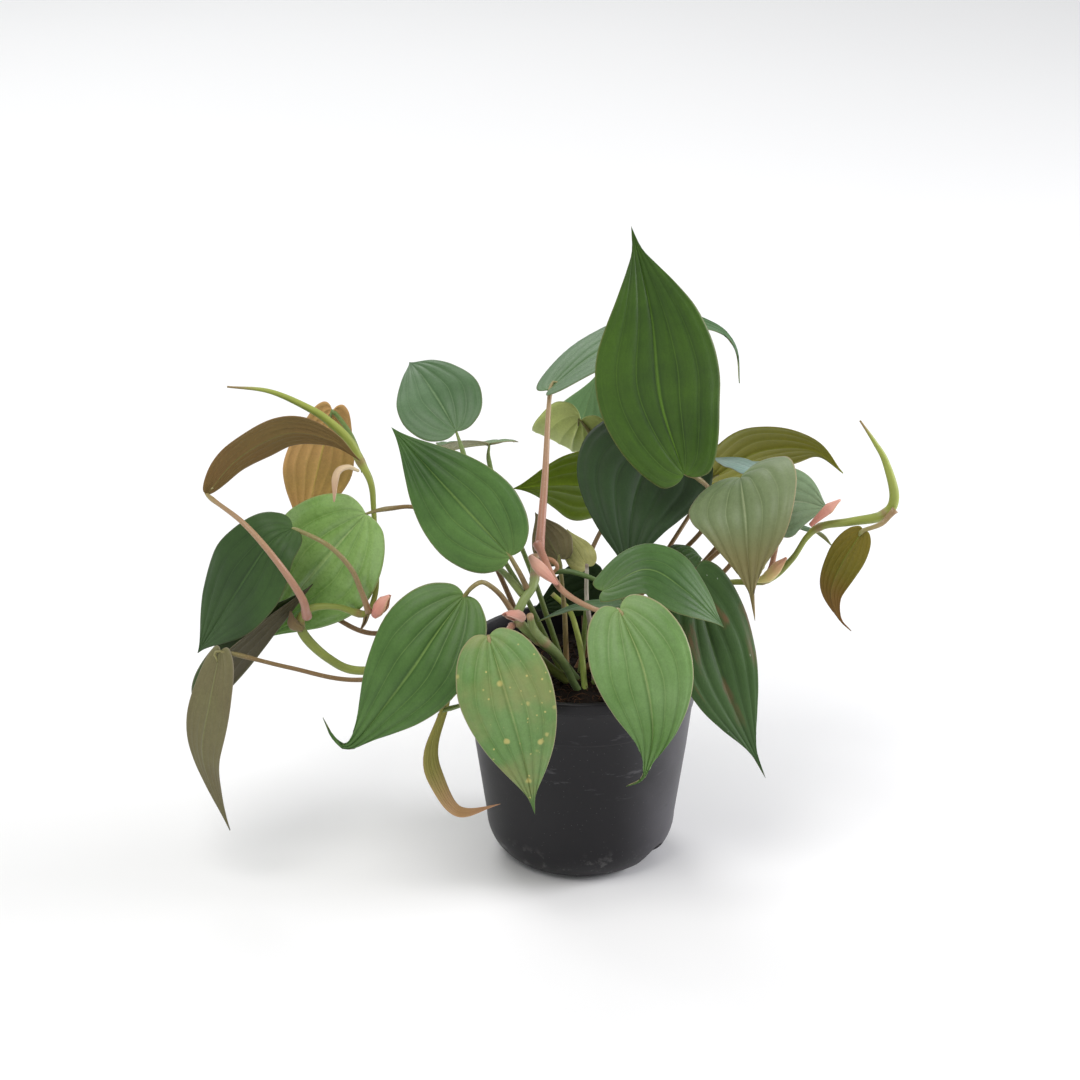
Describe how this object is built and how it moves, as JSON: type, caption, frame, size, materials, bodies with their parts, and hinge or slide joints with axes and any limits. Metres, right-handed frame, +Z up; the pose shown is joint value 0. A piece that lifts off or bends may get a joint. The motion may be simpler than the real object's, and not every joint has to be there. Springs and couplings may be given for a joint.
{
  "type": "potted philodendron",
  "caption": "Young trailing heartleaf philodendron with velvety pointed leaves on slender arching stalks, growing in a round tapered plastic nursery pot of dark soil.",
  "frame": {"origin": "centre of the pot's flat underside, on the surface that it stands on", "axes": "+Z up along the pot's axis, +X to the right along the plant's widest spread, -Y the front"},
  "size_m": [0.2881, 0.1599, 0.2691],
  "materials": {
    "pot_plastic": "satin black, lightly dusty",
    "soil": "damp fibrous potting mix",
    "leaf_green": "velvety satin green",
    "leaf_dark": "velvety dark green",
    "leaf_bronze": "satin bronze underside",
    "young_stem": "fresh yellow-green",
    "vine": "smooth olive green",
    "sheath": "soft pink",
    "dry_sheath": "papery tan"
  },
  "bodies": {
    "root": {"pot": "pot_plastic", "soil": "soil", "left_vine": "vine", "right_vine": "vine", "centre_vine": "vine", "front_stem": "vine", "yellow_stalk": "young_stem", "dark_stalk": "vine", "dead_stalk": "dry_sheath", "dry_sheath": "dry_sheath", "node_sheath": "sheath", "right_sheath": "sheath", "bud_sheath": "sheath", "front_sheath": "sheath", "centre_sheath": "sheath", "crown_leaf": "leaf_green", "arching_leaf": "leaf_green", "lime_leaf": "young_stem", "grey_leaf": "leaf_green", "back_flat_leaf": "leaf_green", "dark_centre_leaf": "leaf_dark", "olive_back_leaf": "leaf_bronze", "olive_right_leaf": "leaf_bronze", "mid_left_leaf": "leaf_green", "small_grey_leaf": "leaf_bronze", "small_pale_leaf": "young_stem", "edge_on_leaf": "leaf_green", "oblique_leaf": "leaf_green", "dark_low_leaf": "leaf_dark", "inner_leaf": "leaf_dark", "sage_leaf": "leaf_green", "round_right_leaf": "leaf_green", "blue_strip_leaf": "leaf_green", "low_right_leaf": "leaf_dark", "thin_right_leaf": "leaf_green", "hanging_right_leaf": "leaf_bronze", "front_left_leaf": "leaf_green", "front_spotted_leaf": "leaf_green", "front_right_leaf": "leaf_green", "curled_low_leaf": "leaf_bronze", "brown_arch_leaf": "leaf_bronze", "tan_back_leaf": "leaf_bronze", "light_left_leaf": "leaf_green", "dark_left_leaf": "leaf_dark", "hanging_left_leaf": "leaf_bronze", "boat_left_leaf": "leaf_bronze"}
  },
  "joints": []
}
